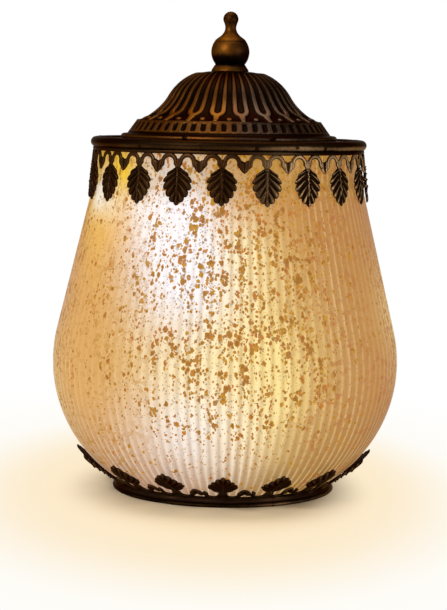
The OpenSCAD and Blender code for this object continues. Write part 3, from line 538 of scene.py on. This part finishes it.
def leafUnit():
    unit = newMesh()
    for side in (1, -1):
        for front in (True, False):
            mapped(unit, 6 * leaf["lobeColumns"] + 1, leaf["rows"] + 1, leafPlace(side, front))
    mapped(unit, 28, 10, budPlace)
    stem = [(1.75, 0, 0.9), (2.4, 0, 1.15), (3.2, 0, 1.1), (4.2, 0, 0.95), (5.6, 0, 0.6)]
    for path in (archPath(1), archPath(-1), stem):
        place, count = ribbonPlace(path)
        mapped(unit, 10, count - 1, place)
    bmesh.ops.remove_doubles(unit, verts=unit.verts, dist=4e-6)
    data = bpy.data.meshes.new("leafUnit")
    unit.to_mesh(data)
    unit.free()
    return data


def buildStrip(name, unit, strip, wrap, rail, finish, *replaced):
    mesh = newMesh()
    layer = mesh.verts.layers.float["relief"]
    for i in range(strip["leaves"]):
        start = len(mesh.verts)
        mesh.from_mesh(unit)
        mesh.verts.ensure_lookup_table()
        layer = mesh.verts.layers.float["relief"]
        middle = radians(strip["first"] + 360 * i / strip["leaves"])
        bend = 0.22 * noise.noise(Vector((i * 7.3, strip["leaves"], 0.5))) + strip["lift"] + strip["bend"] * max(-sin(middle), 0) ** 2
        for vert in mesh.verts[start:]:
            u, v, height = vert.co / mm
            outward = bend * smoothStep(u, 5, 18)
            radius, z = wrap(u, height + outward)
            angle = middle + asin(max(min(v / radius, 1), -1))
            vert.co = Vector((radius * cos(angle), radius * sin(angle), z)) * mm
    turned(mesh, rail, 240, lambda index, angle: (0.12 * noise.noise(Vector((cos(angle) * 9, sin(angle) * 9, index))),
                                                 0.55))
    return makePiece(name, mesh, "lantern", finish, "antique_bronze", *replaced)


collar = {"rail": 126.2, "radius": 49.5, "tipRadius": 51.416, "length": 18.2, "leaves": 20, "first": -92.5,
          "lift": 0, "bend": 0}
foot = {"ring": 40.63, "curveCentre": (12.8, 47.8), "curveRadius": 51.95, "railAngle": 57.86, "arc": 20.07,
        "leaves": 16, "first": -90, "lift": 1.3, "bend": 1.9}


def collarWrap(u, height):
    slope = (collar["tipRadius"] - collar["radius"]) / collar["length"]
    return collar["radius"] + slope * u + height + 0.02, collar["rail"] - u


def footWrap(u, height):
    angle = radians(foot["railAngle"] - foot["arc"] * u / collar["length"])
    radius = foot["curveRadius"] + height + 0.02
    return foot["curveCentre"][0] + radius * cos(angle), foot["curveCentre"][1] - radius * sin(angle)


# Dome: an ogee with forked ribs, dots between them and a band of blocks, all pressed from one sheet
dome = {"beadRadius": 1.1, "beadMiddle": (38.9, 131.15), "bandLow": (37.6, 132.4), "bandTop": (34.0, 137.4),
        "step": (33.1, 136.9), "flareMiddle": (40.282, 156.634), "flareRadius": 21, "crownMiddle": (5.988, 136.834),
        "crownRadius": 18.6, "forks": 20, "firstFork": -81, "rise": 0.6, "blocks": 60, "sheet": 0.5,
        "columns": 600, "top": 155.43}


def forkRelief(radius, angle):
    # 1 on a fork or a dot and 0 off it, angle in degrees
    step = 360 / dome["forks"]
    turn = (angle - dome["firstFork"]) % step
    turn = turn - step if turn > step / 2 else turn
    across = radius * radians(turn)
    offset = 99.0
    if radius <= 26.4:
        middle = radius * radians(4.5)
        half = 0.42 + (1.0 - 0.42) * (radius - 11) / 15.4
        offset = abs(abs(across) - middle) - half
    if 26.4 < radius < 30:
        offset = min(offset, abs(hypot(across, radius - 26.4) - 2.07) - 1.0)
    if 27.5 < radius < 33.4:
        offset = min(offset, abs(across) - (1.3 - 0.4 * smoothStep(radius, 28.8, 32.5)))
    dot = radius * radians(abs(turn) - step / 2)
    offset = min(offset, hypot(dot, (radius - 30.9) * 1.1) - 1.1)
    return (1 - smoothStep(offset, -0.32, 0.22)) * smoothStep(radius, 9.5, 13)


def buildDome(finish):
    flare = arc(dome["flareMiddle"], dome["flareRadius"], -110, -150, 34)
    crown = arc(dome["crownMiddle"], dome["crownRadius"], 30, 90, 40)
    crown += line(crown[-1], (0, dome["top"]), 3)[1:]
    band = line(dome["bandLow"], dome["bandTop"], 14)
    bead = arc(dome["beadMiddle"], dome["beadRadius"], -90, 110, 10)
    outside = bead + [(38.0, 132.3)] + band + [(33.5, 137.25)] + flare + crown[1:]
    bandFirst = len(bead) + 1
    bandLast = bandFirst + len(band)
    inside = [(0, dome["top"] - 0.5), (6, dome["top"] - 0.5), (15, 152.4), (21.6, 145.9), (26, 140.6),
              (33.2, 136.3), (37.0, 132.0), (38.0, 130.6)]
    profile = outside + inside

    def change(index, angle):
        radius, height = profile[index]
        wander = 0.07 * noise.noise(Vector((cos(angle) * 4, sin(angle) * 4, height * 0.1)))
        if index >= len(outside):
            return 0, 0.2
        if index < bandFirst:
            mark = 0
            for place in (-113, -67):
                gap = abs((angle * 180 / pi - place + 180) % 360 - 180)
                mark = max(mark, exp(-(gap / 1.0) ** 2))
            return wander * 0.5 + 0.25 * mark, (0.85 if index < 7 else 0.05) * (1 - 1.3 * mark)
        if index < bandLast:
            t = (index - bandFirst) / (len(band) - 1)
            pitch = 2 * pi / dome["blocks"]
            off = abs((angle % pitch) - pitch / 2) * radius
            notch = 1 - smoothStep(off, 0.55, 0.95)
            notch *= smoothStep(t, 0.24, 0.36) * (1 - smoothStep(t, 0.76, 0.87))
            return wander - 0.45 * notch, (0.84 * smoothStep(t, 0.06, 0.2) - 0.3 * smoothStep(t, 0.88, 1)) * (1 - notch)
        if index < bandLast + 1:
            return 0, 0.15
        relief = forkRelief(radius, angle * 180 / pi)
        plain = 1 - smoothStep(radius, 9, 12)
        return wander + dome["rise"] * relief, max(relief, 0.35 * plain, 0.6 * smoothStep(radius, 31.4, 33.2))
    mesh = newMesh()
    turned(mesh, profile, dome["columns"], change)
    return makePiece("domeShell", mesh, "lid", finish, "dome_bronze", "lid_dome")


# Finial: a turned knob with a base, a bulb, a neck and a ball
finial = {"foot": 155.43, "baseRadius": 6.9, "waistRadius": 5.5, "baseHeight": 2.5, "bulbRadius": 7.05,
          "bulbHeight": 7.11, "neckRadius": 2.0, "neckHeight": 13.39, "ballRadius": 2.8, "ballHeight": 19.19}


def buildFinial(finish):
    z = finial["foot"]
    bulb = 0, z + finial["bulbHeight"]
    ball = 0, z + finial["ballHeight"]
    lowAngle = -asin((finial["bulbHeight"] - finial["baseHeight"] - 0.15) / finial["bulbRadius"]) * 180 / pi
    base = [(0, z - 0.3), (6.7, z - 0.3), (finial["baseRadius"], z + 0.25), (6.75, z + 0.7), (6.2, z + 1.5),
            (5.75, z + 2.2), (finial["waistRadius"], z + 2.5), (5.3, z + 2.62)]
    body = arc(bulb, finial["bulbRadius"], lowAngle, 40, 22)
    shoulder = [(4.65, z + 12.25), (3.75, z + 12.9), (3.0, z + 13.6), (2.5, z + 14.3), (2.16, z + 15.1), (2.02, z + 15.9),
                (2.08, z + 16.7), (2.3, z + 17.35)]
    top = arc(ball, finial["ballRadius"], -32, 90, 16)
    profile = base + body + shoulder + top
    profile[-1] = (0, profile[-1][1])
    last = len(profile) - 1

    def change(index, angle):
        radius, height = profile[index]
        if index in (0, last):
            return 0, 0.6
        above = height - z
        groove = exp(-((above - 10.9) / 0.16) ** 2) + exp(-((above - 3.5) / 0.2) ** 2)
        waist = exp(-((above - 2.75) / 0.5) ** 2)
        rough = 0.05 * noise.noise(Vector((cos(angle) * 2.2, sin(angle) * 2.2, height * 0.5)))
        # The lower part of the bulb gets painted shade
        under = 1 - smoothStep(above, 3.2, 8.0)
        relief = 0.85 - 0.8 * waist - 0.22 * groove - 0.7 * under * smoothStep(above, 2.6, 3.2)
        relief -= 0.2 * smoothStep(above, 15.5, 17.5) + 0.08 * smoothStep(above, 12, 13)
        return rough - 0.05 * groove, max(relief, 0)
    mesh = newMesh()
    turned(mesh, profile, 96, change)
    return makePiece("turnedFinial", mesh, "lid", finish, "turned_bronze", "finial")


# Rings: the collar with its rolled bead and ledge, the lid plate and the foot ring
def ringShape(depth, relief, dents=()):
    def change(index, angle):
        wander = noise.noise(Vector((cos(angle) * 5, sin(angle) * 5, index * 0.07)))
        mark = 0
        for place in dents:
            gap = abs((angle * 180 / pi - place + 180) % 360 - 180)
            mark = max(mark, exp(-(gap / 0.5) ** 2) * (0.5 + 0.5 * sin(index * 0.7 + place)))
        level = relief[index] if isinstance(relief, list) else relief
        return depth * wander + 0.14 * mark, max(level + 0.12 * wander - 0.8 * mark, 0)
    return change


def buildRings(finish):
    # The bead's relief paints light and shade: a painted highlight on its face and on top, and a painted black shade
    # line where it turns in between, like a gap
    bead = arc((49.15, 129.0), 1.9, -180, 180, 36)
    beadLightAndShade = [0.12 + 0.52 * exp(-((i * 10 - 157) / 33) ** 2) + 0.34 * exp(-((i * 10 - 275) / 24) ** 2) for i in range(37)]
    ledge = [(45.9, 126.85), (49.3, 126.85), (49.3, 127.28), (45.9, 127.28), (45.9, 126.85)]
    wall = [(49.02, 126.25), (49.5, 126.25), (49.5, 128.4), (49.02, 128.4), (49.02, 126.25)]
    mesh = newMesh()
    turned(mesh, bead, 360, ringShape(0.07, beadLightAndShade, (-62, -79, -101, -128, -48, 12, 95, 170)))
    turned(mesh, ledge, 180)
    turned(mesh, wall, 180)
    makePiece("collarRing", mesh, "lantern", finish, "antique_bronze", "collar_rim")

    roll = arc((40.85, 0.68), 0.6, -90, 60, 8)
    profile = [(34.7, 0.08), (40.4, 0.08)] + roll + [(40.75, 1.5), (40.72, 2.8), (40.5, 3.35), (40.1, 3.38),
                                                     (40.05, 2.8), (40.03, 0.82), (34.7, 0.8), (34.7, 0.08)]
    mesh = newMesh()
    turned(mesh, profile, 360, ringShape(0.05, 0.5, (-64, 118)))
    makePiece("footRing", mesh, "lantern", finish, "antique_bronze", "foot_ring")

    plate = [(32.6, 129.35), (45.9, 129.35), (46.0, 127.35), (46.95, 127.35), (46.95, 129.5), (46.7, 129.9),
             (46.2, 130.1), (44.0, 130.12), (40.5, 130.1), (32.6, 130.1), (32.6, 129.35)]
    mesh = newMesh()
    turned(mesh, plate, 300, ringShape(0.04, 0.3))
    makePiece("shoulderPlate", mesh, "lid", finish, "antique_bronze", "lid_plate")


# The wire and its coil, and the three contact springs, as round tubes
def bezier(a, b, c, d, steps):
    result = []
    for i in range(steps + 1):
        t = i / steps
        result.append(a * (1 - t) ** 3 + b * 3 * t * (1 - t) ** 2 + c * 3 * t * t * (1 - t) + d * t ** 3)
    return result


def buildWire(finish):
    x, y = lights["grommet"]
    start = Vector((x, y, lights["caseBottom"] - 1))
    first = coilPoint(0)
    angle = radians(lights["coilStart"])
    lead = bezier(start, start - Vector((0, 0, 8)), first - Vector((sin(angle), -cos(angle), 0)) * 10, first, 24)
    coil = [coilPoint(i / 60) for i in range(1, int(lights["coilTurns"] * 60) + 1)]
    mesh = newMesh()
    tube(mesh, [start + Vector((0, 0, 10.1))] + lead + coil, lights["wireRadius"], 12)
    return makePiece("lightWire", mesh, "lid", finish, "copper_wire", "light_wire")


def buildSprings(finish):
    mesh = newMesh()
    for number, x in enumerate((-10.8, 0, 10.8)):
        turnSide = -1 if number == 1 else 1
        path = [Vector((3.6, 0, 0))]
        for i in range(97):
            t = i / 96
            radius = 3.6 - 1.2 * t
            path.append(Vector((radius * cos(6 * pi * t), 0.6 + 3.0 * t, radius * sin(6 * pi * t))))
        path.append(Vector((2.4, 4.2, 0)))
        points = [Vector((x + p.x * turnSide, (-24.35 + p.y) * turnSide, 128.15 + p.z)) for p in path]
        tube(mesh, points, 0.3, 10)
    return makePiece("contactSprings", mesh, "lid", finish, "bright_steel", "contact_springs")


glass = glassFinish()
# Each metal's fifth value is its painted side light: a lighter painted highlight on the right for the collar leaves,
# foot and rings, a darker painted shade on the right for the dome and knob
bronze = bronzeFinish("AntiqueBronze", (0.0105, 0.0042, 0.0014), (0.068, 0.032, 0.012), 0.42, 0.9,
                      (0.33, 0.205, 0.10), (0.004, 0.028), wear=(0.05, 1.05), paintedCrestRange=(0.6, 1.03))
footBronze = bronzeFinish("FootBronze", (0.020, 0.0095, 0.006), (0.085, 0.048, 0.026), 0.42, 0.8,
                          (0.11, 0.065, 0.03), (0.0, 0.03))
domeMetal = bronzeFinish("DomeBronze", (0.0065, 0.003, 0.0015), (0.14, 0.052, 0.011), 0.42, 1.0,
                         (0.075, 0.048, 0.034), (-0.004, 0.011), (0.144, 0.153))
knobMetal = bronzeFinish("KnobBronze", (0.006, 0.0022, 0.0012), (0.15, 0.055, 0.007), 0.45, 1.0,
                         (0.028, 0.013, 0.006), (-0.002, 0.006))
ringMetal = bronzeFinish("RingBronze", (0.013, 0.006, 0.0022), (0.095, 0.046, 0.016), 0.42, 0.9,
                         (0.33, 0.20, 0.10), (0.0, 0.026), paintedCrestRange=(0.3, 0.95))
print("metal and glass finishes ready")

buildJar(glass)
unit = leafUnit()
railCollar = [(49.45, 126.0), (50.0, 126.05), (50.25, 126.4), (50.2, 127.0), (49.9, 127.5), (49.45, 127.5),
              (49.45, 126.0)]
buildStrip("collarLeaves", unit, collar, collarWrap, railCollar, bronze, "collar_gallery")
railFoot = [footWrap(0.4, 0.3), footWrap(0.2, 0.5), footWrap(-0.4, 0.62), (41.0, 2.7), (41.05, 1.4), (40.66, 1.3),
            (40.66, 3.0), footWrap(0.4, 0.0), footWrap(0.4, 0.3)]
buildStrip("footLeaves", unit, foot, footWrap, railFoot, footBronze, "foot_gallery")
bpy.data.meshes.remove(unit)
buildDome(domeMetal)
buildFinial(knobMetal)
buildRings(ringMetal)
steel = plainMetal("BrightSteel", (0.62, 0.61, 0.58), 0.22)
wireMetal = plainMetal("CopperWire", (0.70, 0.36, 0.20), 0.25)
buildWire(wireMetal)
buildSprings(steel)

# Finishes of the nodes that keep their CAD mesh
blackPlastic = mouldedFinish("BlackPlastic", (0.028, 0.028, 0.030), 0.38)
sealant = mouldedFinish("Sealant", (0.62, 0.60, 0.55), 0.3, 300.0, 0.00006)
chip = mouldedFinish("ChipBlack", (0.02, 0.02, 0.022), 0.42)
rubber = mouldedFinish("BlackRubber", (0.022, 0.022, 0.023), 0.6)


def cellFinish():
    # A plain wrapper with a gold band toward one end and bare steel at both, turned round for the middle cell
    f = Finish("CellJacket")
    x, y, z = f.parts(f.place)
    middle = x.math("ABSOLUTE").math("LESS_THAN", 0.0054)
    along = y * (1 - middle * 2.0)
    cloud = f.noise(300.0, 2.0)
    gold = along.step(0.0118, 0.012)
    steel = y.math("ABSOLUTE").step(0.0212, 0.0214)
    colour = f.mix(gold, (0.018, 0.045, 0.035), (0.62, 0.36, 0.10))
    colour = f.mix(steel, colour, (0.60, 0.59, 0.56))
    colour = f.mix(cloud.step(0.3, 0.7) * 0.25, colour, (0.02, 0.02, 0.02))
    return f.done(f.surface({"Base Color": colour, "Metallic": gold.math("MAXIMUM", steel) * 0.7 + 0.2,
                             "Roughness": cloud * 0.15 + 0.2}))


def boardFinish():
    # Green lacquer over copper tracks
    f = Finish("CircuitBoard")
    tracks = 1 - f.cells(330.0, f.place, feature="DISTANCE_TO_EDGE").step(0.05, 0.09)
    pads = (0.16 - f.cells(600.0)).step(0.0, 0.03)
    colour = f.mix(tracks, (0.012, 0.10, 0.035), (0.03, 0.22, 0.07))
    colour = f.mix(pads, colour, (0.62, 0.60, 0.55))
    return f.done(f.surface({"Base Color": colour, "Metallic": pads * 0.9, "Roughness": 0.3,
                             "Normal": f.bump(tracks, 0.00003)}))


def lampFinish():
    # White hot in the middle and amber toward the edge of the bead
    f = Finish("LampResin")
    facing = f.add("ShaderNodeLayerWeight", {}, {"Blend": 0.5}, "Facing")
    middle = f.surface({"Base Color": (0.9, 0.85, 0.7, 1), "Roughness": 0.15, "Emission Strength": 1.5,
                        "Emission Color": f.mix(f.noise(400.0, 1.0), (1.0, 0.93, 0.80), (1.0, 0.84, 0.58))})
    edge = f.surface({"Base Color": (0.55, 0.25, 0.06, 1), "Roughness": 0.15, "Emission Strength": 0.45,
                      "Emission Color": (0.95, 0.42, 0.08, 1)})
    return f.done(f.blend(facing.step(0.25, 0.75), middle, edge))


finishes = {
    "foot_sealant": sealant, "collar_sealant": sealant, "knob_screw": steel, "knob_washer": steel,
    "battery_case": blackPlastic, "case_screws": steel, "battery_cells": cellFinish(), "contact_plates": steel,
    "circuit_board": boardFinish(), "timer_chip": chip, "switch_body": steel, "circuit_cover": blackPlastic,
    "cover_screw": steel, "door_pin": steel, "wire_grommet": rubber, "light_beads": lampFinish(),
    "battery_door": blackPlastic, "door_screw": steel, "switch_slider": blackPlastic}
for name, finish in finishes.items():
    data = nodes[name].data
    data.materials.clear()
    data.materials.append(finish)
print("CAD nodes finished:", len(finishes))

# Floor: a painted pool of cream lantern glow round the foot, given off as emission beyond the foot, and white further
# out; close to the foot it is lit diffuse and keeps the shadow
floorMesh = bmesh.new()
bmesh.ops.create_circle(floorMesh, cap_ends=True, radius=4.0, segments=96)
floorData = bpy.data.meshes.new("floor")
floorMesh.to_mesh(floorData)
floorMesh.free()
floor = bpy.data.objects.new("floor", floorData)
bpy.context.scene.collection.objects.link(floor)
f = Finish("PaleFloor")
x, y, z = f.parts(f.place)
# The painted glow reaches out faster on the right, so that it covers the shadow there sooner
spread = f.add("ShaderNodeCombineXYZ", {}, {0: x + x.math("MAXIMUM", 0.0) * 0.14, 1: y * 0.6, 2: z})
reach = f.vector("LENGTH", spread, output=1)
paintedGlowPool = f.mix(reach.step(0.062, 0.118), (0.98, 0.83, 0.60), (0.99, 0.97, 0.91))
paintedGlowPool = f.mix(reach.step(0.09, 0.18), paintedGlowPool, (1, 1, 1))
lit = f.add("ShaderNodeBsdfDiffuse", {}, {"Color": f.vector("MULTIPLY", paintedGlowPool, (0.82, 0.82, 0.80))})
paintedGlowEmission = f.add("ShaderNodeEmission", {}, {"Color": paintedGlowPool, "Strength": 1.0})
floorData.materials.append(f.done(f.blend(reach.step(0.036, 0.066), lit, paintedGlowEmission)))

# World: white to the camera, soft grey to everything else
world = bpy.data.worlds.new("Studio")
bpy.context.scene.world = world
world.use_nodes = True
tree = world.node_tree
tree.nodes.clear()
path = tree.nodes.new("ShaderNodeLightPath")
soft = tree.nodes.new("ShaderNodeBackground")
soft.inputs["Color"].default_value = (1, 0.98, 0.95, 1)
soft.inputs["Strength"].default_value = 0.5
white = tree.nodes.new("ShaderNodeBackground")
white.inputs["Color"].default_value = (1, 1, 1, 1)
white.inputs["Strength"].default_value = 1.0
choose = tree.nodes.new("ShaderNodeMixShader")
out = tree.nodes.new("ShaderNodeOutputWorld")
tree.links.new(path.outputs["Is Camera Ray"], choose.inputs[0])
tree.links.new(soft.outputs[0], choose.inputs[1])
tree.links.new(white.outputs[0], choose.inputs[2])
tree.links.new(choose.outputs[0], out.inputs[0])


def addLight(name, place, aim, size, power, colour=(1, 1, 1)):
    data = bpy.data.lights.new(name, "AREA")
    data.shape = "RECTANGLE"
    data.size, data.size_y = size
    data.energy = power
    data.color = colour
    light = bpy.data.objects.new(name, data)
    light.location = place
    light.rotation_euler = (Vector(aim) - Vector(place)).to_track_quat("-Z", "Y").to_euler()
    bpy.context.scene.collection.objects.link(light)


addLight("keyLight", (-0.35, -0.45, 0.42), (0, 0, 0.13), (0.22, 0.22), 2.2, (1, 0.95, 0.88))
addLight("sideLight", (0.5, -0.35, 0.16), (0, 0, 0.11), (0.1, 0.3), 0.9, (1, 0.95, 0.88))
addLight("topLight", (0.0, 0.1, 0.7), (0, 0, 0.1), (0.5, 0.5), 3.0)

camera = bpy.data.objects.new("camera", bpy.data.cameras.new("camera"))
camera.data.lens = 118.98
camera.data.sensor_width = 36
camera.location = (-0.0009, -0.75, 0.145)
camera.rotation_euler = (Matrix.Rotation(radians(90 - 5.81), 4, "X") @ Matrix.Rotation(radians(1.0), 4, "Z")).to_euler()
camera.data.clip_start = 0.01
bpy.context.scene.collection.objects.link(camera)
bpy.context.scene.camera = camera
bpy.context.scene.view_settings.view_transform = "Standard"
print("camera, floor and lights ready")
